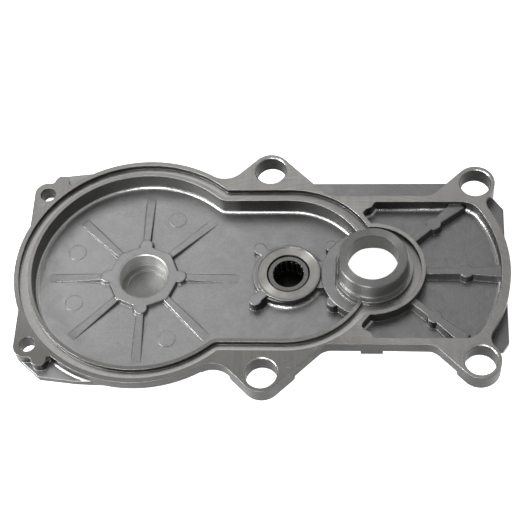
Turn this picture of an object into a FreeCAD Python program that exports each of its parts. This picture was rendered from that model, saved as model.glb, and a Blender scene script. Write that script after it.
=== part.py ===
import FreeCAD, Part
import math
import os

# Half of a die cast aluminium gear housing, lying on its back with the gear side up.
# Millimetres. X runs along the three shaft axes, Y across, Z up.
# The origin is under the middle of the housing, which rests on Z = 0.

V = FreeCAD.Vector

# Levels, measured down from the machined joint face
REST_DEPTH = 25.0
GROOVE_DEPTH = 2.8
FLOOR_DEPTH = 11.5
FLOOR_THICK = 3.0
RIM_THICK = 6.8
DECK_THICK = 7.6
LUG_THICK = 10.6
POCKET_DEPTH = 7.5
PLATE_THICK = 3.0
PLATE_DEPTH = 8.6
EAR_PLATE_DEPTH = 5.9
EAR_PLATE_THICK = 3.6

# Shaft spacings from the output shaft
GEAR_SPACING = 121.6
NEEDLE_SPACING = 44.3

# Sealing groove, inner lip and wall
SEAL_WIDTH = 4.8
LIP_WIDTH = 2.0
GEAR_GROOVE_R = 65.1
GEAR_RIM_R = 67.6
NECK_HALF = 48.8
NECK_ROUND = 9.0
BASIN_WALL = 3.1
FLOOR_FILLET = 2.0

# Output shaft: collar, ring rim and bearing seat from below
COLLAR_RISE = 10.6
COLLAR_R = 18.0
COLLAR_HOLE_R = 13.3
COLLAR_FLAT = 16.7
COLLAR_CHAMFER = 0.5
COLLAR_FOOT = 1.2
COLLAR_WEB = 1.1
CORE_R = 19.2
CORE_STEP_R = 21.2
CORE_STEP = 1.0
RING_RIM_R = 27.5
RING_GROOVE_R = 25.2
RING_LIP_R = 20.9
SEAT_R = 18.5
SEAT_LENGTH = 9.0
SEAT_DEPTH = 1.3
SEAT_RELIEF = 4.0
SHELF_R = 26.8
SHELF_DEPTH = 4.8

# Blind bearing seat of the big gear
BLIND_R = 13.0
BLIND_LENGTH = 10.5
BLIND_RECESS_R = 10.2
BLIND_RECESS = 2.0
PAD_R = 19.2
PAD_HEIGHT = 2.6
PAD_FOOT = 0.9
PAD_BOSS_R = 3.4
PAD_BOSS_AT = 19.3
BLIND_BOSS_R = 17.4
RIB_WIDTH = 3.4
RIB_SPREAD = 1.7
RIB_START = 17.5
RIB_END = 54.0
RIB_FADE = -0.2
RIB_SLOPE = 0.22

# Needle bearing hub
HUB_R = 17.0
HUB_DEPTH = 5.2
HUB_FACE_R = 15.9
HUB_FACE_STEP = 0.4
HUB_FILLET = 3.2
HUB_STEP = 1.4
HUB_STEP_BACK = 1.8
HUB_WEB = 16.0
HUB_BOSS_R = 3.3
CUP_R = 11.0
CUP_LENGTH = 12.0
CUP_WALL = 1.0
CUP_SUNK = 0.6
CUP_LIP_R = 8.2
SHAFT_R = 8.0
SHAFT_ROOM_R = 9.0
SHAFT_ROOM = 2.6
ROLLER_R = 0.99
ROLLER_LENGTH = 9.2
ROLLERS = 18
CAGE_IN_R = 8.4
CAGE_OUT_R = 9.5
CAGE_PLAY = 0.1
POCKET_PLAY = 0.04
NEEDLE_BOSS_R = 14.6

# Mounting lugs and ears
LUG_R = 10.4
LUG_HOLE_R = 8.25
LUG_CHAMFER = 0.6
MID_LUG_BACK = 55.7
MID_LUG_Y = 61.5
END_LUG_AHEAD = 54.2
END_LUG_Y = 53.3
EAR_BACK = 55.1
EAR_Y = 46.1
EAR_HOLE_R = 4.2
EAR_R = 7.3
EAR_FOOT = 1.6

# Right-hand end
DECK_HALF = 44.9
DECK_END_R = 71.0
MID_BLEND_R = 12.0
END_BLEND_R = 8.0
POCKET_WALL = 3.8
POCKET_END_WALL = 4.5
POCKET_FILLET = 2.2
POCKET_RIB = 3.6
POCKET_RIB_FLARE = 3.4
POCKET_RIB_DROP = 2.8
POCKET_BOSS_R = 3.7
PLATE_FAR = 58.4
PLATE_INSET = 2.9
PLATE_END_INSET = 1.8

# Ejector pin marks
PIN_R = 4.6
PIN_RISE = 0.15

# Derived
OUTPUT_X = (GEAR_SPACING + GEAR_RIM_R - DECK_END_R) / 2
GEAR_X = OUTPUT_X - GEAR_SPACING
NEEDLE_X = OUTPUT_X - NEEDLE_SPACING
MID_LUG_X = OUTPUT_X - MID_LUG_BACK
END_LUG_X = OUTPUT_X + END_LUG_AHEAD
EAR_X = GEAR_X - EAR_BACK
POCKET_HALF = DECK_HALF - POCKET_WALL
POCKET_END_R = DECK_END_R - POCKET_END_WALL
PLATE_NEAR = DECK_HALF - PLATE_INSET
PLATE_END = OUTPUT_X + DECK_END_R - PLATE_END_INSET
FACE = REST_DEPTH
FLOOR = FACE - FLOOR_DEPTH
UNDER = FLOOR - FLOOR_THICK
GROOVE = FACE - GROOVE_DEPTH
SHELF = FACE - SHELF_DEPTH
PAD = FLOOR + PAD_HEIGHT
HUB = FACE - HUB_DEPTH
HUB_FACE = HUB - HUB_FACE_STEP
POCKET = FACE - POCKET_DEPTH
PLATE_TOP = FACE - PLATE_DEPTH
PLATE_LOW = PLATE_TOP - PLATE_THICK
SEAT_TOP = FACE - SEAT_DEPTH
SEAT_LOW = SEAT_TOP - SEAT_LENGTH
CUP_TOP = HUB_FACE - CUP_SUNK
CUP_LOW = CUP_TOP - CUP_LENGTH
NECK_START = GEAR_X + math.sqrt(GEAR_GROOVE_R ** 2 - NECK_HALF ** 2)


def cyl(x, y, r, z0, z1):
    return Part.makeCylinder(r, z1 - z0, V(x, y, z0))


def block(x0, x1, y0, y1, z0, z1):
    return Part.makeBox(x1 - x0, y1 - y0, z1 - z0, V(x0, y0, z0))


def rounded(corners, z0, z1):
    """A prism whose corners are (x, y, radius), walked round in order."""
    count = len(corners)
    edges = []
    starts = []
    ends = []
    mids = []
    for i in range(count):
        x, y, r = corners[i]
        p = V(x, y, z0)
        before = V(corners[i - 1][0], corners[i - 1][1], z0) - p
        after = V(corners[(i + 1) % count][0], corners[(i + 1) % count][1], z0) - p
        before.normalize()
        after.normalize()
        if r <= 0:
            starts.append(p)
            ends.append(p)
            mids.append(None)
            continue
        half = before.getAngle(after) / 2
        reach = r / math.tan(half)
        bisector = before + after
        bisector.normalize()
        centre = p + bisector * (r / math.sin(half))
        starts.append(p + before * reach)
        ends.append(p + after * reach)
        mids.append(centre - bisector * r)
    for i in range(count):
        if mids[i] is not None:
            edges.append(Part.Arc(starts[i], mids[i], ends[i]).toShape())
        nxt = starts[(i + 1) % count]
        if (nxt - ends[i]).Length > 1e-6:
            edges.append(Part.makeLine(ends[i], nxt))
    face = Part.Face(Part.Wire(edges))
    return face.extrude(V(0, 0, z1 - z0))


def mirrored(corners):
    """The same corners on the near side, walked back."""
    return [(x, -y, r) for x, y, r in reversed(corners)]


def gear_room(inset, z0, z1):
    """Big circle, neck and second lobe, drawn in from the groove's outer edge."""
    radius = GEAR_GROOVE_R - inset
    half = NECK_HALF - inset
    big = cyl(GEAR_X, 0, radius, z0, z1)
    neck = block(NECK_START - 6, NEEDLE_X, -half, half, z0, z1)
    lobe = cyl(NEEDLE_X, 0, half, z0, z1)
    room = big.fuse([neck, lobe]).removeSplitter()
    corner = GEAR_X + math.sqrt(radius ** 2 - half ** 2)
    sharp = []
    for e in room.Edges:
        box = e.BoundBox
        if box.ZLength > z1 - z0 - 1e-6 and abs(box.XMin - corner) < 0.05 and box.XLength < 0.01:
            sharp.append(e)
    return room.makeFillet(NECK_ROUND - SEAL_WIDTH - LIP_WIDTH + inset, sharp)


def blend(x, y, r, around, z0, z1):
    """Fills an inside corner: the area between the given points and a circle at x, y."""
    points = [V(x, y, z0)] + [V(px, py, z0) for px, py in around]
    area = Part.Face(Part.makePolygon(points + [points[0]])).extrude(V(0, 0, z1 - z0))
    return area.cut(cyl(x, y, r, z0 - 1, z1 + 1))


def lug_corner(x, y):
    """Where the two 45 degree tangents of a lug meet."""
    return y + LUG_R * math.sqrt(2)


def deck():
    """The flanged plate with its lugs, big rim and end."""
    mid_top = lug_corner(MID_LUG_X, MID_LUG_Y)
    end_rise = END_LUG_Y + LUG_R * math.sqrt(2) - END_LUG_X
    side_x = END_LUG_X + LUG_R
    mid_foot = MID_LUG_X + (mid_top - DECK_HALF)
    end_foot = DECK_HALF - end_rise
    mid_left = MID_LUG_X - (mid_top - DECK_HALF)
    far = [
        (mid_left - 4, DECK_HALF - 4, 0),
        (MID_LUG_X, mid_top, LUG_R),
        (mid_foot, DECK_HALF, 9.0),
        (end_foot, DECK_HALF, 9.0),
        (side_x, side_x + end_rise, LUG_R),
        (side_x, END_LUG_Y, 0),
        (END_LUG_X, END_LUG_Y, 0),
        (END_LUG_X, END_LUG_Y - 18.0, 0),
    ]
    plate = rounded(far + mirrored(far), FACE - DECK_THICK, FACE)
    end = cyl(OUTPUT_X, 0, DECK_END_R, FACE - DECK_THICK, FACE)
    end = end.common(block(OUTPUT_X + 40, OUTPUT_X + DECK_END_R + 1, -39, 39, 0, FACE))
    rim = cyl(GEAR_X, 0, GEAR_RIM_R, FACE - RIM_THICK, FACE)
    ring = cyl(OUTPUT_X, 0, RING_RIM_R, SEAT_LOW, FACE)
    parts = [end, rim, ring]
    low = FACE - LUG_THICK
    lug_mid = [
        (MID_LUG_X - 21, mid_top - 21, 3.0),
        (MID_LUG_X, mid_top, LUG_R),
        (MID_LUG_X + 21, mid_top - 21, 3.0),
    ]
    lug_end = [
        (side_x - 28, side_x + end_rise - 28, 3.0),
        (side_x, side_x + end_rise, LUG_R),
        (side_x, END_LUG_Y, 0),
        (END_LUG_X, END_LUG_Y, 0),
    ]
    for lug in (lug_mid, lug_end):
        parts.append(rounded(lug, low, FACE))
        parts.append(rounded(mirrored(lug), low, FACE))
    for side in (-1, 1):
        parts.append(cyl(MID_LUG_X, side * MID_LUG_Y, LUG_R, low, FACE))
        parts.append(cyl(END_LUG_X, side * END_LUG_Y, LUG_R, low, FACE))
        parts.append(mid_blend(side))
        parts.append(end_blend(side))
    return plate.fuse(parts)


def mid_blend(side):
    """Between the big rim and the 45 degree flank of the middle lug."""
    r = MID_BLEND_R
    reach = GEAR_RIM_R + r
    k = GEAR_X + lug_corner(MID_LUG_X, MID_LUG_Y) - MID_LUG_X + r * math.sqrt(2)
    u = (math.sqrt(2 * reach ** 2 - k ** 2) - k) / 2
    x = GEAR_X + u
    y = u + k
    step = r / math.sqrt(2)
    on_rim = (GEAR_X + u * GEAR_RIM_R / reach, side * y * GEAR_RIM_R / reach)
    on_flank = (x + step, side * (y - step))
    inside = (x + 1.5, side * (y - 24))
    return blend(x, side * y, r, [on_rim, inside, on_flank], FACE - DECK_THICK, FACE)


def end_blend(side):
    """Between the end lug and the round end."""
    r = END_BLEND_R
    far = math.hypot(END_LUG_AHEAD, END_LUG_Y)
    near_end = DECK_END_R + r
    near_lug = LUG_R + r
    along = (near_end ** 2 - near_lug ** 2 + far ** 2) / (2 * far)
    off = math.sqrt(near_end ** 2 - along ** 2)
    ux = END_LUG_AHEAD / far
    uy = END_LUG_Y / far
    x = along * ux + off * uy
    y = along * uy - off * ux
    on_end = (OUTPUT_X + x * DECK_END_R / near_end, side * y * DECK_END_R / near_end)
    lug_x = END_LUG_AHEAD + (x - END_LUG_AHEAD) * LUG_R / near_lug
    lug_y = END_LUG_Y + (y - END_LUG_Y) * LUG_R / near_lug
    on_lug = (OUTPUT_X + lug_x, side * lug_y)
    centre = (END_LUG_X, side * END_LUG_Y)
    inside = (END_LUG_X, side * (END_LUG_Y - 23))
    around = [on_end, inside, centre, on_lug]
    return blend(OUTPUT_X + x, side * y, r, around, FACE - DECK_THICK, FACE)


def ears():
    """Two ears beside the big rim, and the thin plate under them."""
    side = EAR_X - EAR_R
    low = FACE - EAR_PLATE_DEPTH
    top = [
        (GEAR_X - 20, 30, 0),
        (EAR_X + 16.2, EAR_Y + 7.6, 0),
        (EAR_X + 14.4, EAR_Y + 6.4, 1.6),
        (EAR_X + 11.0, EAR_Y + 6.4, 1.6),
        (EAR_X + 10.2, EAR_Y + 11.7, 2.6),
        (EAR_X + 4.4, EAR_Y + 12.2, 3.4),
        (EAR_X + 2.4, EAR_Y + 7.4, 1.8),
        (side, EAR_Y + 7.2, 6.6),
        (side, 18, 0),
        (side + 25, 10, 0),
    ]
    plate = [
        (GEAR_X + 7, 40, 0),
        (GEAR_X + 7, 65.6, 1.5),
        (GEAR_X - 29, 64.2, 4.0),
        (GEAR_X - 48.5, 61.9, 4.0),
        (side + 0.5, EAR_Y + 4.0, 6.0),
        (side - 1.2, EAR_Y - 4.0, 4.0),
        (side - 1.2, 20, 0),
        (GEAR_X - 20, 20, 0),
    ]
    parts = []
    for walk in (lambda c: c, mirrored):
        parts.append(rounded(walk(top), low - 1.0, FACE))
        parts.append(rounded(walk(plate), low - EAR_PLATE_THICK, low))
        outline = rounded(walk(plate), low - 1.0, FACE)
        foot = cyl(GEAR_X, 0, GEAR_RIM_R + EAR_FOOT, low - 1.0, low + EAR_FOOT)
        curve = Part.makeTorus(GEAR_RIM_R + EAR_FOOT, EAR_FOOT, V(GEAR_X, 0, low + EAR_FOOT))
        parts.append(foot.cut(curve).common(outline))
    return parts[0].fuse(parts[1:])


def lower_plate():
    """The thin plate under the deck; it reaches out on the far side and at the end."""
    corners = [
        (MID_LUG_X + 4, -PLATE_NEAR, 0),
        (PLATE_END - 3, -PLATE_NEAR - 1.5, 1.5),
        (PLATE_END, -PLATE_NEAR + 3.0, 1.5),
        (PLATE_END, PLATE_NEAR - 0.5, 1.0),
        (PLATE_END - 2.6, PLATE_NEAR + 3.0, 1.0),
        (PLATE_END - 6.2, PLATE_NEAR + 8.0, 2.0),
        (END_LUG_X, PLATE_FAR, 0),
        (MID_LUG_X + 4, PLATE_FAR, 0),
    ]
    plate = rounded(corners, PLATE_LOW, PLATE_TOP)
    infill = block(NEEDLE_X, OUTPUT_X + 50, -PLATE_NEAR, PLATE_NEAR, PLATE_TOP, FACE - DECK_THICK)
    tab = block(OUTPUT_X - 6, OUTPUT_X + 5.4, -DECK_HALF, -PLATE_NEAR, PLATE_LOW + 1.0, FACE - DECK_THICK)
    end = cyl(OUTPUT_X, 0, POCKET_END_R + 1.5, PLATE_TOP - 0.5, FACE - DECK_THICK)
    end = end.common(block(OUTPUT_X + 30, PLATE_END, -38, 38, 0, FACE))
    return plate.fuse([infill, tab, end])


def basin():
    """Outside of the gear room below the flange, with the closed bosses under it."""
    seal = SEAL_WIDTH + LIP_WIDTH
    shell = gear_room(seal - BASIN_WALL, UNDER, FACE - 0.5)
    blind = cyl(GEAR_X, 0, BLIND_BOSS_R, 0, FLOOR)
    needle = cyl(NEEDLE_X, 0, NEEDLE_BOSS_R, 0, FLOOR)
    return shell.fuse([blind, needle])


def room_floor():
    """The gear room, cut down to the floor, with a rounded foot to its wall."""
    seal = SEAL_WIDTH + LIP_WIDTH
    room = gear_room(seal, FLOOR, FACE + 1)
    foot = [e for e in room.Edges if abs(e.BoundBox.ZMax - FLOOR) < 1e-6]
    room = room.makeFillet(FLOOR_FILLET, foot)
    shelf = cyl(OUTPUT_X, 0, SHELF_R, FLOOR - 1, SHELF)
    step = cyl(OUTPUT_X, 0, CORE_STEP_R, FLOOR - 1, SHELF + CORE_STEP)
    core = cyl(OUTPUT_X, 0, CORE_R, FLOOR - 1, FACE + 2)
    return room.cut(shelf.fuse([step, core]))


def seal_groove():
    """One groove round the gear room and on round the collar's ring."""
    outer = gear_room(0, GROOVE, FACE + 1)
    outer = outer.fuse(cyl(OUTPUT_X, 0, RING_GROOVE_R, GROOVE, FACE + 1))
    inner = gear_room(SEAL_WIDTH, GROOVE - 1, FACE + 2)
    inner = inner.fuse(cyl(OUTPUT_X, 0, RING_LIP_R, GROOVE - 1, FACE + 2))
    return outer.cut(inner)


def wedge(length, w0, w1, h0, h1, sink):
    """A rib along +X from the origin, tapering in height, spreading, with sloping sides."""
    b0 = w0 / 2 + (h0 + sink) * RIB_SLOPE
    b1 = w1 / 2 + (h1 + sink) * RIB_SLOPE
    near = [V(0, -b0, -sink), V(0, b0, -sink), V(0, w0 / 2, h0), V(0, -w0 / 2, h0)]
    far = [V(length, -b1, -sink), V(length, b1, -sink), V(length, w1 / 2, h1), V(length, -w1 / 2, h1)]
    wires = [Part.makePolygon(near + [near[0]]), Part.makePolygon(far + [far[0]])]
    return Part.makeLoft(wires, True, True)


def rib(x, z, start, end, angle, w0, w1, h0, h1, sink):
    shape = wedge(end - start, w0, w1, h0, h1, sink)
    shape.translate(V(start, 0, 0))
    shape.rotate(V(0, 0, 0), V(0, 0, 1), angle)
    shape.translate(V(x, 0, z))
    return shape


def blind_hub():
    """Eight-sided pad with four round bosses and eight fading ribs."""
    sections = []
    for radius, z in ((PAD_R + PAD_FOOT, FLOOR - 0.5), (PAD_R, PAD)):
        corners = []
        for k in range(8):
            a = math.radians(45 * k)
            corners.append(V(GEAR_X + radius * math.cos(a), radius * math.sin(a), z))
        sections.append(Part.makePolygon(corners + [corners[0]]))
    pad = Part.makeLoft(sections, True, True)
    parts = []
    for k in range(4):
        a = math.radians(90 * k)
        at = V(GEAR_X + PAD_BOSS_AT * math.cos(a), PAD_BOSS_AT * math.sin(a), FLOOR - 0.5)
        parts.append(Part.makeCone(PAD_BOSS_R + PAD_FOOT, PAD_BOSS_R, PAD - FLOOR + 0.5, at))
    for k in range(8):
        w1 = RIB_WIDTH + RIB_SPREAD
        high = PAD_HEIGHT - 0.35
        parts.append(rib(GEAR_X, FLOOR, RIB_START, RIB_END, 45 * k, RIB_WIDTH, w1, high, RIB_FADE, 1.0))
    return pad.fuse(parts)


def needle_hub():
    hub = cyl(NEEDLE_X, 0, HUB_R, FLOOR, HUB)
    skirt = cyl(NEEDLE_X, 0, HUB_R + HUB_FILLET, FLOOR - 1, FLOOR + HUB_FILLET)
    curve = Part.makeTorus(HUB_R + HUB_FILLET, HUB_FILLET, V(NEEDLE_X, 0, FLOOR + HUB_FILLET))
    parts = [skirt.cut(curve)]
    parts.append(cyl(NEEDLE_X - HUB_STEP_BACK, 0, HUB_R, FLOOR - 1, HUB - HUB_STEP))
    web_end = OUTPUT_X - SHELF_R + 2
    parts.append(block(NEEDLE_X, web_end, -HUB_WEB / 2, HUB_WEB / 2, FLOOR - 1, HUB - HUB_STEP))
    for x, y in ((-16.7, -16.2), (-15.5, 15.0), (22.5, 16.6), (23.8, -16.8)):
        parts.append(cyl(NEEDLE_X + x, y, HUB_BOSS_R, FLOOR - 1, HUB - 0.1))
    for x, y in ((-16.7, -16.2), (-15.5, 15.0)):
        away = math.degrees(math.atan2(y, x))
        high = HUB - FLOOR - 0.1
        parts.append(rib(NEEDLE_X, FLOOR, 10, math.hypot(x, y), away, 5.0, 5.0, high, high, 1.0))
    return hub.fuse(parts)


def hub_bores():
    """Turned face, press seat for the needle bearing and room for the shaft's end."""
    face = cyl(NEEDLE_X, 0, HUB_FACE_R, HUB_FACE, HUB + 1)
    seat = cyl(NEEDLE_X, 0, CUP_R, CUP_LOW, HUB_FACE + 1)
    room = cyl(NEEDLE_X, 0, SHAFT_ROOM_R, CUP_LOW - SHAFT_ROOM, CUP_LOW + 1)
    lead = Part.makeCone(CUP_R, CUP_R + 0.4, 0.4, V(NEEDLE_X, 0, HUB_FACE - 0.4))
    return face.fuse([seat, room, lead])


def blind_bores():
    seat = cyl(GEAR_X, 0, BLIND_R, PAD - BLIND_LENGTH, PAD + 1)
    recess = cyl(GEAR_X, 0, BLIND_RECESS_R, PAD - BLIND_LENGTH - BLIND_RECESS, PAD)
    lead = Part.makeCone(BLIND_R, BLIND_R + 0.5, 0.5, V(GEAR_X, 0, PAD - 0.5))
    return seat.fuse([recess, lead])


def collar():
    top = FACE + COLLAR_RISE
    body = cyl(OUTPUT_X, 0, COLLAR_R, FACE - 2, top)
    edges = [e for e in body.Edges if e.BoundBox.ZMin > top - 1e-6]
    body = body.makeChamfer(COLLAR_CHAMFER, edges)
    foot = cyl(OUTPUT_X, 0, COLLAR_R + COLLAR_FOOT, FACE - 1, FACE + COLLAR_FOOT)
    curve = Part.makeTorus(COLLAR_R + COLLAR_FOOT, COLLAR_FOOT, V(OUTPUT_X, 0, FACE + COLLAR_FOOT))
    foot = foot.cut(curve)
    return body.fuse(foot)


def collar_side():
    """What is cleared off the collar's side towards the gears: a steep flat down to the shelf."""
    top = FACE + COLLAR_RISE + 1
    side = OUTPUT_X - COLLAR_FLAT
    foot = OUTPUT_X - SEAT_R - COLLAR_WEB
    line = [
        V(foot - 12, -30, SHELF),
        V(foot, -30, SHELF),
        V(foot + 0.5, -30, SHELF + 0.8),
        V(side - 0.8, -30, FACE + 0.5),
        V(side, -30, top),
        V(foot - 12, -30, top),
    ]
    face = Part.Face(Part.makePolygon(line + [line[0]]))
    prism = face.extrude(V(0, 60, 0))
    return prism.common(gear_room(SEAL_WIDTH + LIP_WIDTH, SHELF, top))


def right_pockets():
    """One pocket round the ring, left with three ribs and their bosses standing in it."""
    end_x = OUTPUT_X + math.sqrt(POCKET_END_R ** 2 - POCKET_HALF ** 2)
    far = [
        (OUTPUT_X + 12.0, 4.0, 0),
        (OUTPUT_X - 1.0, 27.5, 2.0),
        (OUTPUT_X - 4.4, 31.8, 2.0),
        (OUTPUT_X - 5.6, 34.4, 1.4),
        (OUTPUT_X - 3.8, 36.5, 1.4),
        (OUTPUT_X - 1.0, 37.8, 2.0),
        (OUTPUT_X + 0.9, POCKET_HALF, 1.5),
        (end_x + 0.5, POCKET_HALF, 11.0),
        (OUTPUT_X + POCKET_END_R - 1.2, 20.0, 0),
        (OUTPUT_X + POCKET_END_R + 3.0, 3.0, 0),
    ]
    area = rounded(mirrored(far) + far, POCKET, FACE + 1)
    end = cyl(OUTPUT_X, 0, POCKET_END_R, POCKET, FACE + 1)
    ring = cyl(OUTPUT_X, 0, RING_RIM_R, POCKET - 1, FACE + 2)
    room = area.common(end).cut(ring)
    foot = []
    for e in room.Edges:
        at_ring = hasattr(e.Curve, "Radius") and abs(e.Curve.Radius - RING_RIM_R) < 1e-6
        if e.BoundBox.ZMax < POCKET + 1e-6 and e.Length > 10 and not at_ring:
            foot.append(e)
    room = room.makeFillet(POCKET_FILLET, foot)
    high = POCKET_DEPTH - POCKET_RIB_DROP
    parts = []
    wide = POCKET_RIB + POCKET_RIB_FLARE
    for angle, reach, at in ((42.4, 62.0, 43.4), (0.0, 68.0, 48.6), (-40.6, 62.0, 41.8)):
        parts.append(rib(OUTPUT_X, POCKET, 24, at, angle, POCKET_RIB, POCKET_RIB, high, high, 1.0))
        parts.append(rib(OUTPUT_X, POCKET, at, reach, angle, POCKET_RIB, wide, high, high, 1.0))
        a = math.radians(angle)
        foot = V(OUTPUT_X + at * math.cos(a), at * math.sin(a), POCKET - 1)
        parts.append(Part.makeCone(POCKET_BOSS_R + PAD_FOOT, POCKET_BOSS_R, high + 1, foot))
    return room.cut(parts[0].fuse(parts[1:]))


def holes():
    parts = []
    for x, y in ((MID_LUG_X, MID_LUG_Y), (END_LUG_X, END_LUG_Y)):
        for side in (-1, 1):
            parts.append(cyl(x, side * y, LUG_HOLE_R, 0, FACE + 1))
            mouth = V(x, side * y, FACE - LUG_CHAMFER)
            parts.append(Part.makeCone(LUG_HOLE_R, LUG_HOLE_R + LUG_CHAMFER, LUG_CHAMFER, mouth))
    for side in (-1, 1):
        parts.append(cyl(EAR_X, side * EAR_Y, EAR_HOLE_R, 0, FACE + 1))
    return parts


def pin_marks():
    parts = []
    for x, y in ((15.5, 37.0), (-37.4, 16.0), (-36.0, -15.2), (14.9, -36.4)):
        parts.append(cyl(GEAR_X + x, y, PIN_R, FLOOR - 1, FLOOR + PIN_RISE))
    return parts


def housing():
    body = deck().fuse([ears(), lower_plate(), basin()])
    body = body.cut(seal_groove())
    body = body.cut(room_floor())
    body = body.cut(right_pockets())
    body = body.fuse([blind_hub(), needle_hub()] + pin_marks())
    body = body.fuse(collar())
    body = body.cut(collar_side())
    through = cyl(OUTPUT_X, 0, COLLAR_HOLE_R, 0, FACE + COLLAR_RISE + 1)
    seat = cyl(OUTPUT_X, 0, SEAT_R, 0, SEAT_TOP)
    relief = cyl(OUTPUT_X, 0, SEAT_R + SEAT_RELIEF, -1, SEAT_LOW)
    body = body.cut([through, seat, relief, hub_bores(), blind_bores()] + holes())
    return body.removeSplitter()


def drawn_cup():
    cup = cyl(NEEDLE_X, 0, CUP_R, CUP_LOW, CUP_TOP)
    edges = [e for e in cup.Edges if len(e.Vertexes) == 1]
    cup = cup.makeFillet(0.7, edges)
    race = cyl(NEEDLE_X, 0, CUP_R - CUP_WALL, CUP_LOW + CUP_WALL, CUP_TOP - CUP_WALL)
    hole = cyl(NEEDLE_X, 0, CUP_LIP_R, CUP_LOW - 1, CUP_TOP + 1)
    return cup.cut([race, hole])


def pitch_radius():
    return CUP_R - CUP_WALL - 1.0


def roller_cage():
    low = CUP_LOW + CUP_WALL + CAGE_PLAY
    high = CUP_TOP - CUP_WALL - CAGE_PLAY
    ring = cyl(NEEDLE_X, 0, CAGE_OUT_R, low, high).cut(cyl(NEEDLE_X, 0, CAGE_IN_R, low - 1, high + 1))
    middle = (low + high) / 2
    half = ROLLER_LENGTH / 2 + POCKET_PLAY
    wide = ROLLER_R + POCKET_PLAY
    slots = []
    for k in range(ROLLERS):
        slot = block(CAGE_IN_R - 1, CAGE_OUT_R + 1, -wide, wide, -half, half)
        slot.rotate(V(0, 0, 0), V(0, 0, 1), 360.0 * k / ROLLERS)
        slot.translate(V(NEEDLE_X, 0, middle))
        slots.append(slot)
    return ring.cut(slots)


def roller(k):
    middle = (CUP_LOW + CUP_TOP) / 2
    a = math.radians(360.0 * k / ROLLERS)
    x = NEEDLE_X + pitch_radius() * math.cos(a)
    y = pitch_radius() * math.sin(a)
    return cyl(x, y, ROLLER_R, middle - ROLLER_LENGTH / 2, middle + ROLLER_LENGTH / 2)


os.makedirs("parts", exist_ok=True)
shape = housing()
shape.exportStep("parts/housing.step")
shape = drawn_cup()
shape.exportStep("parts/bearing_cup.step")
shape = roller_cage()
shape.exportStep("parts/bearing_cage.step")
for number in range(ROLLERS):
    shape = roller(number)
    shape.exportStep("parts/needle_%02d.step" % (number + 1))
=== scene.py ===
import math

import bpy
from mathutils import Matrix, Vector

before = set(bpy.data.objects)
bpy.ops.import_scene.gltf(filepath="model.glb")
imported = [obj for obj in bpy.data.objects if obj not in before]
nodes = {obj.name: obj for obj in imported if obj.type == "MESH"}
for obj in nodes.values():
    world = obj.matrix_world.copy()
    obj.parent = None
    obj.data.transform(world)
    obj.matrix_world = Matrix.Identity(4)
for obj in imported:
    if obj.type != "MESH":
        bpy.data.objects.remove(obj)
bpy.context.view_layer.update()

MM = 0.001

# Heights of the casting's faces over the ground.
FACE = 25.0 * MM
HUB_FACE = 19.4 * MM
GROOVE = 22.2 * MM
SHELF = 20.2 * MM
ABOVE_FLANGE = FACE + 5 * MM  # only the collar reaches this high
BORE_BOTTOMS = 3 * MM  # all bores from above end over this height

# The three shaft axes, which all stand on y = 0.
OUTPUT_X = 59.1 * MM
GEAR_X = -62.5 * MM
NEEDLE_X = 14.8 * MM

# Centre and radius of the holes; each has its mirror image across y = 0.
HOLES = [
    (OUTPUT_X - 55.7 * MM, 61.5 * MM, 8.25 * MM),
    (OUTPUT_X + 54.2 * MM, 53.3 * MM, 8.25 * MM),
    (GEAR_X - 55.1 * MM, 46.1 * MM, 4.2 * MM),
]

# Slots of the casting's materials, in the order that dress_housing makes them.
(CAST, MILLED, TURNED_HUB, BORED_SEAT, BORED_COLLAR,
 GROOVE_FLOOR, DRILLED, SHADED_BORE, COLLAR_SIDE, SEAT_BOTTOM) = range(10)

EDGE_SAMPLES = 6  # rays of each bevel and ambient occlusion node
LAMP_AIM = Vector((0, 0, 0.02))
GROUND_HALF = 3.0


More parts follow.
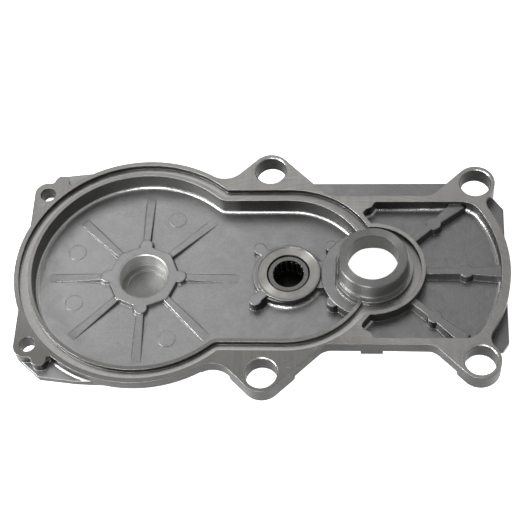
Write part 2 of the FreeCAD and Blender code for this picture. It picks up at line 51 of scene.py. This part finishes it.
# ---------------------------------------------------------------- node helpers
class Mat:
    """A node material built up by short calls."""

    def __init__(self, name):
        self.mat = bpy.data.materials.new(name)
        self.mat.use_nodes = True
        self.tree = self.mat.node_tree
        self.tree.nodes.clear()
        out = self.node("OutputMaterial")
        self.bsdf = self.node("BsdfPrincipled")
        self.link(self.bsdf.outputs[0], out.inputs["Surface"])
        self.object = self.node("TexCoord").outputs["Object"]

    def node(self, kind, **settings):
        n = self.tree.nodes.new("ShaderNode" + kind)
        for name, value in settings.items():
            setattr(n, name, value)
        return n

    def link(self, a, b):
        self.tree.links.new(a, b)

    def put(self, socket, value):
        if isinstance(value, bpy.types.NodeSocket):
            self.link(value, socket)
        else:
            socket.default_value = value

    def set(self, **values):
        for name, value in values.items():
            self.put(self.bsdf.inputs[name.replace("_", " ")], value)

    def math(self, op, a, b=0.0, clamp=False):
        n = self.node("Math", operation=op, use_clamp=clamp)
        self.put(n.inputs[0], a)
        self.put(n.inputs[1], b)
        return n.outputs[0]

    def times(self, a, b):
        return self.math("MULTIPLY", a, b)

    def vector(self, op, a, b):
        n = self.node("VectorMath", operation=op)
        self.put(n.inputs[0], a)
        self.put(n.inputs[1], b)
        return n.outputs

    def split(self, vector):
        n = self.node("SeparateXYZ")
        self.link(vector, n.inputs[0])
        return n.outputs

    def facing(self):
        """The surface's own direction, without bump."""
        return self.node("NewGeometry").outputs["True Normal"]

    def level(self):
        """1 where the surface faces up or down, 0 where it stands upright."""
        return self.math("ABSOLUTE", self.split(self.facing())[2])

    def radius(self, x, y):
        """Distance from an upright axis, and the position measured from it."""
        centred = self.mapping(move=(-x, -y, 0))
        parts = self.split(centred)
        square = self.math("ADD", self.math("POWER", parts[0], 2.0), self.math("POWER", parts[1], 2.0))
        return self.math("SQRT", square), parts

    def rings(self, x, y, scale, detail=2.0, rough=0.7, drift=0.0):
        """Fine noise that changes only with the distance from an upright axis."""
        radius, parts = self.radius(x, y)
        n = self.node("CombineXYZ")
        self.link(radius, n.inputs[0])
        self.link(self.math("ADD", parts[2], self.times(parts[0], drift)), n.inputs[1])
        return self.noise(scale, detail, rough, vector=n.outputs[0])

    def lathe(self, x, amount):
        """Stretches highlights across the tool marks of a surface turned about (x, 0)."""
        around = self.vector("CROSS_PRODUCT", (0, 0, 1), self.mapping(move=(-x, 0, 0)))
        across = self.vector("CROSS_PRODUCT", around[0], self.facing())
        self.set(Anisotropic=amount, Tangent=across[0])

    def noise(self, scale, detail=2.0, rough=0.5, vector=None):
        n = self.node("TexNoise")
        self.link(vector or self.object, n.inputs["Vector"])
        n.inputs["Scale"].default_value = scale
        n.inputs["Detail"].default_value = detail
        n.inputs["Roughness"].default_value = rough
        return n.outputs[0]

    def mapping(self, scale=(1, 1, 1), rotate=(0, 0, 0), move=(0, 0, 0)):
        n = self.node("Mapping")
        self.link(self.object, n.inputs["Vector"])
        n.inputs["Location"].default_value = move
        n.inputs["Rotation"].default_value = rotate
        n.inputs["Scale"].default_value = scale
        return n.outputs[0]

    def ramp(self, value, *stops):
        n = self.node("ValToRGB")
        self.link(value, n.inputs[0])
        for element, (at, tone) in zip(n.color_ramp.elements, stops):
            element.position = at
            element.color = (*tone, 1) if isinstance(tone, tuple) else (tone, tone, tone, 1)
        return n.outputs[0]

    def range(self, value, low, high, to_low, to_high):
        n = self.node("MapRange")
        self.put(n.inputs[0], value)
        for k, v in enumerate((low, high, to_low, to_high)):
            n.inputs[k + 1].default_value = v
        return n.outputs[0]

    def mix(self, factor, a, b):
        n = self.node("Mix", data_type="RGBA")
        self.put(n.inputs["Factor"], factor)
        self.put(n.inputs[6], a)
        self.put(n.inputs[7], b)
        return n.outputs[2]

    def recess(self, reach):
        """1 in the open, 0 deep in an inside corner."""
        n = self.node("AmbientOcclusion", samples=EDGE_SAMPLES, only_local=True)
        n.inputs["Distance"].default_value = reach
        return n.outputs["AO"]

    def rounded(self, reach):
        """The surface's direction with its edges rounded off."""
        n = self.node("Bevel", samples=EDGE_SAMPLES)
        n.inputs["Radius"].default_value = reach
        return n.outputs[0]

    def edge(self, reach):
        """1 on an outside edge, 0 elsewhere; the finishes paint these edges bright, part wear and part
        painted highlight.
        """
        alike = self.vector("DOT_PRODUCT", self.rounded(reach), self.facing())["Value"]
        turn = self.range(alike, 0.97, 0.85, 0.0, 1.0)
        return self.times(turn, self.range(self.recess(0.8 * MM), 0.75, 0.95, 0.0, 1.0))

    def bump(self, *layers, bevel):
        """layers are (height, distance in metres, strength)."""
        normal = self.rounded(bevel)
        for height, distance, strength in layers:
            n = self.node("Bump")
            n.inputs["Distance"].default_value = distance
            n.inputs["Strength"].default_value = strength
            self.link(height, n.inputs["Height"])
            self.link(normal, n.inputs["Normal"])
            normal = n.outputs[0]
        self.link(normal, self.bsdf.inputs["Normal"])


# ---------------------------------------------------------------- finishes
def cast_skin():
    """As-cast aluminium: grey and blotchy, with painted shade on upright walls and in corners, painted
    highlights on fillets, and bright edges that are part wear, part painted highlight.
    """
    m = Mat("cast_skin")
    cloud = m.noise(22, 3, 0.6)
    blotch = m.noise(120, 4, 0.65)
    mottle = m.noise(650, 4, 0.65)
    grain = m.noise(2600, 2, 0.6)
    tone = m.ramp(cloud, (0.3, (0.25, 0.255, 0.25)), (0.7, (0.31, 0.315, 0.31)))
    tone = m.mix(0.25, tone, m.ramp(blotch, (0.35, 0.2), (0.65, 0.38)))
    tone = m.mix(0.22, tone, m.ramp(mottle, (0.3, 0.18), (0.7, 0.42)))
    tone = m.mix(0.15, tone, m.ramp(grain, (0.35, 0.18), (0.65, 0.42)))

    # Painted light and shade: paler at the ears' end, darker towards the output end, as the light falls off
    # from left to right.
    along, across, _ = m.split(m.object)
    tone = m.mix(m.range(along, -120 * MM, -70 * MM, 0.5, 0.0), tone, (0.42, 0.425, 0.42, 1))
    tone = m.mix(m.range(along, -50 * MM, 60 * MM, 0.0, 0.58), tone, (0.14, 0.142, 0.14, 1))

    # Painted shade darkens the upright walls; a painted highlight brightens the smooth fillets between wall
    # and floor, which are also less rough.
    level = m.level()
    fillet = m.times(m.range(level, 0.2, 0.45, 0.0, 1.0), m.range(level, 0.8, 0.96, 1.0, 0.0))
    tone = m.mix(m.range(level, 0.3, 0.75, 0.2, 1.0), (0.11, 0.11, 0.107, 1), tone)
    tone = m.mix(m.times(fillet, 0.7), tone, (0.6, 0.6, 0.59, 1))

    # Painted shade, darker still, on the walls outside the big rim and along the near side.
    wall = m.range(level, 0.3, 0.6, 1.0, 0.0)
    rim = m.times(m.range(m.radius(GEAR_X, 0)[0], 62 * MM, 66 * MM, 0.0, 0.8), wall)
    rim = m.times(rim, m.range(along, 10 * MM, 30 * MM, 1.0, 0.0))
    flank = m.times(m.range(across, -43.5 * MM, -42 * MM, 0.82, 0.0), wall)
    tone = m.mix(m.math("MAXIMUM", rim, flank), tone, (0.03, 0.03, 0.029, 1))

    # Painted shade in the inside corners; bright outside edges, part wear and part painted highlight.
    tone = m.mix(m.range(m.recess(0.9 * MM), 0.35, 0.8, 0.45, 1.0), (0.02, 0.02, 0.02, 1), tone)
    tone = m.mix(m.times(m.edge(0.4 * MM), 0.5), tone, (0.7, 0.7, 0.69, 1))
    rough = m.math("SUBTRACT", m.range(blotch, 0.3, 0.7, 0.32, 0.46), m.times(fillet, 0.12))
    m.set(Base_Color=tone, Roughness=rough, Metallic=1.0)
    m.bump((grain, 0.06 * MM, 0.45), (mottle, 0.16 * MM, 0.5), (blotch, 0.4 * MM, 0.35), bevel=0.9 * MM)
    return m.mat


def milled_face():
    """Face-milled joint surface: warmer, with sweeping cutter marks and a few bright scratches."""
    m = Mat("milled_face")
    sweep = m.rings(50 * MM, -110 * MM, 2300, drift=0.004)
    cross = m.noise(1.0, 2, 0.6, vector=m.mapping(scale=(2400, 50, 60), rotate=(0, 0, 0.2)))
    cloud = m.noise(45, 4, 0.65)
    tone = m.ramp(cloud, (0.3, (0.25, 0.242, 0.228)), (0.7, (0.33, 0.32, 0.305)))
    tone = m.mix(0.3, tone, m.ramp(sweep, (0.35, 0.17), (0.65, 0.42)))

    # Bright arcs in patches, none at the output end.
    along, across, _ = m.split(m.object)
    patch = m.noise(18, 2, 0.5)
    arcs = m.rings(20 * MM, -60 * MM, 900, 1.0, 0.5, drift=0.01)
    arcs = m.times(m.range(arcs, 0.58, 0.72, 0, 0.35), m.range(patch, 0.52, 0.64, 0, 1))
    arcs = m.times(arcs, m.range(along, 60 * MM, 85 * MM, 1.0, 0.0))
    tone = m.mix(arcs, tone, (0.5, 0.49, 0.47, 1))

    # Painted shade: darker towards the ears' end, most on the near side.
    tone = m.mix(m.range(along, 20 * MM, 70 * MM, 0.2, 0.0), tone, (0.15, 0.145, 0.135, 1))
    dark = m.times(m.range(along, 30 * MM, 75 * MM, 0.7, 0.0), m.range(across, -50 * MM, -10 * MM, 1.0, 0.0))
    tone = m.mix(dark, tone, (0.12, 0.117, 0.11, 1))

    # Scratches here and there, and bright cut edges, part wear and part painted highlight.
    lines = m.noise(1.0, 3, 0.7, vector=m.mapping(scale=(70, 2600, 60), rotate=(0, 0, 0.35)))
    where = m.noise(42, 2, 0.5)
    scratch = m.times(m.range(lines, 0.68, 0.74, 0, 1), m.range(where, 0.55, 0.62, 0, 1))
    tone = m.mix(scratch, tone, (0.8, 0.79, 0.76, 1))
    tone = m.mix(m.times(m.edge(0.25 * MM), 0.7), tone, (0.85, 0.84, 0.82, 1))
    m.set(Base_Color=tone, Roughness=m.range(cross, 0.3, 0.7, 0.32, 0.48), Metallic=1.0)
    m.bump((sweep, 0.04 * MM, 0.5), (cross, 0.03 * MM, 0.35), bevel=0.5 * MM)
    return m.mat


def groove_floor():
    """The machined bottom of the sealing groove: bright, with painted shade darkening it on the far right.
    """
    m = Mat("groove_floor")
    fine = m.noise(2200, 3, 0.7)
    patch = m.noise(160, 3, 0.6)
    tone = m.ramp(fine, (0.3, (0.27, 0.27, 0.262)), (0.7, (0.5, 0.49, 0.475)))
    tone = m.mix(0.3, tone, m.ramp(patch, (0.4, 0.24), (0.6, 0.5)))
    along, across, _ = m.split(m.object)
    # Painted shade: darker towards the far right.
    painted_shade = m.times(m.range(along, -40 * MM, 50 * MM, 0.0, 0.8), m.range(across, -25 * MM, 10 * MM, 0.0, 1.0))
    tone = m.mix(painted_shade, tone, (0.15, 0.148, 0.142, 1))
    m.set(Base_Color=tone, Roughness=m.range(patch, 0.3, 0.7, 0.3, 0.44), Metallic=1.0)
    m.bump((fine, 0.05 * MM, 0.5), bevel=0.4 * MM)
    return m.mat


def turned(name, x, light, rough, stretch):
    """A surface turned or bored about an upright axis through (x, 0)."""
    m = Mat(name)
    rings = m.rings(x, 0, 5200)
    spots = m.noise(500, 2, 0.5)
    tone = m.mix(0.2, (*light, 1), m.ramp(rings, (0.3, light[0] * 0.6), (0.7, light[0] * 1.3)))
    m.set(Base_Color=tone, Roughness=m.range(spots, 0.3, 0.7, rough, rough + 0.08), Metallic=1.0)
    m.lathe(x, stretch)
    m.bump((rings, 0.02 * MM, 0.4), bevel=0.3 * MM)
    return m.mat


def drilled(name, light):
    """Rough bored walls, painted near black as the shade inside the holes."""
    m = Mat(name)
    rings = m.noise(1.0, 3, 0.6, vector=m.mapping(scale=(160, 160, 2400)))
    stain = m.noise(260, 3, 0.6)
    valley = (light * 0.6, light * 0.58, light * 0.52)
    crest = (light * 1.4, light * 1.35, light * 1.25)
    tone = m.ramp(rings, (0.3, valley), (0.7, crest))
    tone = m.mix(0.35, tone, m.ramp(stain, (0.4, light * 0.5), (0.65, light * 1.9)))
    m.set(Base_Color=tone, Roughness=0.42, Metallic=1.0)
    m.bump((rings, 0.08 * MM, 0.5), bevel=0.4 * MM)
    return m.mat


def steel(name, light, rough, dirt):
    """Ground bearing steel under a smeared film of oil."""
    m = Mat(name)
    smear = m.noise(900, 3, 0.6)
    fine = m.noise(4000, 2, 0.5)
    tone = m.mix(dirt, (*light, 1), m.ramp(smear, (0.35, light[0] * 0.35), (0.7, light[0] * 1.1)))
    m.set(Base_Color=tone, Roughness=m.range(fine, 0.3, 0.7, rough, rough + 0.12), Metallic=1.0)
    m.bump((fine, 0.01 * MM, 0.4), bevel=0.1 * MM)
    return m.mat


# ---------------------------------------------------------------- dressing
def finish_of(c, normal):
    """Which process left the surface at point c: the slot of its material."""
    flat = normal.z > 0.99
    wall = abs(normal.z) < 0.1
    at_hub = math.hypot(c.x - NEEDLE_X, c.y)
    at_gear = math.hypot(c.x - GEAR_X, c.y)
    at_output = math.hypot(c.x - OUTPUT_X, c.y)

    def on(height):
        return flat and abs(c.z - height) < 0.12 * MM

    if on(FACE):
        return MILLED
    # The needle bore and the room under the bearing take a near-black finish: painted shade.
    if at_hub < 11.45 * MM and BORE_BOTTOMS < c.z < HUB_FACE - 0.1 * MM:
        return SHADED_BORE
    if at_hub < 15.95 * MM and c.z > HUB_FACE - 1.5 * MM:
        return TURNED_HUB
    if at_gear < 13.6 * MM and c.z > BORE_BOTTOMS:
        return SEAT_BOTTOM if flat else BORED_SEAT
    if wall and (at_output < 13.4 * MM or 18.2 * MM < at_output < 18.6 * MM and c.z < FACE):
        return BORED_COLLAR
    if flat and at_output < 21.5 * MM and c.z > ABOVE_FLANGE:
        return COLLAR_SIDE
    if not flat and 15.9 * MM < at_output < 21.5 * MM and c.z > SHELF + 0.1 * MM:
        return COLLAR_SIDE
    if on(GROOVE) and (at_output < 27 * MM or c.x < OUTPUT_X):
        return GROOVE_FLOOR
    for x, y, r in HOLES:
        if wall and math.hypot(c.x - x, abs(c.y) - y) < r + 0.1 * MM:
            return DRILLED
    return CAST


def dress_housing(o):
    """Gives each face of the casting the finish its process leaves."""
    kinds = [
        cast_skin(),
        milled_face(),
        turned("turned_hub", NEEDLE_X, (0.33, 0.32, 0.3), 0.36, 0.9),
        turned("bored_seat", GEAR_X, (0.66, 0.66, 0.64), 0.42, 0.6),
        # The output bore's very dark tone is painted shade inside the bore.
        turned("bored_collar", OUTPUT_X, (0.085, 0.084, 0.08), 0.34, 0.5),
        groove_floor(),
        # Both drilled finishes are painted near black: painted shade inside the lug holes and the needle
        # bore.
        drilled("drilled", 0.022),
        drilled("shaded_bore", 0.03),
        turned("collar_side", OUTPUT_X, (0.2, 0.2, 0.196), 0.4, 0.8),
        turned("seat_bottom", GEAR_X, (0.3, 0.298, 0.295), 0.5, 0.5),
    ]
    o.data.materials.clear()
    for kind in kinds:
        o.data.materials.append(kind)
    for face in o.data.polygons:
        face.material_index = finish_of(face.center, face.normal)


def dress_bearing():
    """Gives the bought needle bearing its steels."""
    needle = steel("needle_steel", (0.6, 0.6, 0.6), 0.12, 0.25)
    steels = {
        "bearing_cup": steel("cup_steel", (0.13, 0.128, 0.125), 0.24, 0.4),
        "bearing_cage": steel("cage_steel", (0.02, 0.02, 0.02), 0.35, 0.4),
    }
    for name, node in nodes.items():
        if name != "housing":
            node.data.materials.clear()
            node.data.materials.append(steels.get(name, needle))


# ---------------------------------------------------------------- stage
def add(name, data):
    o = bpy.data.objects.new(name, data)
    bpy.context.scene.collection.objects.link(o)
    return o


def floor():
    """White ground; it shows white to the eye and in the metal, and keeps the shadow."""
    mesh = bpy.data.meshes.new("floor")
    s = GROUND_HALF
    mesh.from_pydata([(-s, -s, 0), (s, -s, 0), (s, s, 0), (-s, s, 0)], [], [(0, 1, 2, 3)])
    o = add("floor", mesh)
    m = Mat("floor")
    path = m.node("LightPath").outputs
    seen = m.math("ADD", path["Is Camera Ray"], path["Is Glossy Ray"], True)
    seen = m.math("ADD", seen, path["Is Transmission Ray"], True)
    m.set(Base_Color=(0.9, 0.9, 0.9, 1), Roughness=0.9, Specular_IOR_Level=0.0)
    m.set(Emission_Color=(1, 1, 1, 1), Emission_Strength=m.times(seen, 0.9))
    mesh.materials.append(m.mat)


def area_light(name, place, size, size_y, power):
    """A soft lamp turned to the part."""
    data = bpy.data.lights.new(name, "AREA")
    data.shape = "RECTANGLE"
    data.size = size
    data.size_y = size_y
    data.energy = power
    o = add(name, data)
    o.location = place
    o.rotation_mode = "QUATERNION"
    o.rotation_quaternion = (LAMP_AIM - Vector(place)).to_track_quat("-Z", "Y")


def light():
    """A pale sky that darkens overhead, a strong soft lamp on the left and two weak ones."""
    world = bpy.data.worlds.new("world")
    world.use_nodes = True
    tree = world.node_tree
    coords = tree.nodes.new("ShaderNodeTexCoord")
    split = tree.nodes.new("ShaderNodeSeparateXYZ")
    ramp = tree.nodes.new("ShaderNodeValToRGB")
    background = tree.nodes["Background"]
    tree.links.new(coords.outputs["Generated"], split.inputs[0])
    tree.links.new(split.outputs[2], ramp.inputs[0])
    tree.links.new(ramp.outputs[0], background.inputs[0])
    for element, (at, tone) in zip(ramp.color_ramp.elements, ((0.0, 0.8), (0.75, 0.3))):
        element.position = at
        element.color = (tone, tone, tone, 1)
    background.inputs[1].default_value = 1.0
    bpy.context.scene.world = world
    area_light("left", (-0.66, -0.22, 0.47), 0.38, 0.26, 7.4)
    area_light("front", (-0.22, -0.80, 0.46), 0.4, 0.4, 4.2)
    area_light("back", (-0.16, 0.64, 1.05), 0.7, 0.7, 2.2)


def camera():
    """From in front and high up, a little to the right, rolled so the long axis lies level."""
    azimuth = math.radians(9.16)
    elevation = math.radians(58.53)
    roll = math.radians(-7.74)
    target = Vector((0.0023, 0.0022, FACE))
    distance = 0.7852
    flat = math.cos(elevation)
    back = Vector((math.sin(azimuth) * flat, -math.cos(azimuth) * flat, math.sin(elevation)))
    right = Vector((math.cos(azimuth), math.sin(azimuth), 0))
    up = back.cross(right)
    turn, rise = math.cos(roll), math.sin(roll)
    right, up = right * turn + up * rise, up * turn - right * rise
    data = bpy.data.cameras.new("camera")
    data.sensor_width = 36
    data.lens = 102.35
    data.clip_start = 0.05
    o = add("camera", data)
    o.matrix_world = Matrix((right, up, back)).transposed().to_4x4()
    o.location = target + back * distance
    bpy.context.scene.camera = o


dress_housing(nodes["housing"])
dress_bearing()
floor()
light()
camera()
bpy.context.scene.view_settings.view_transform = "Standard"
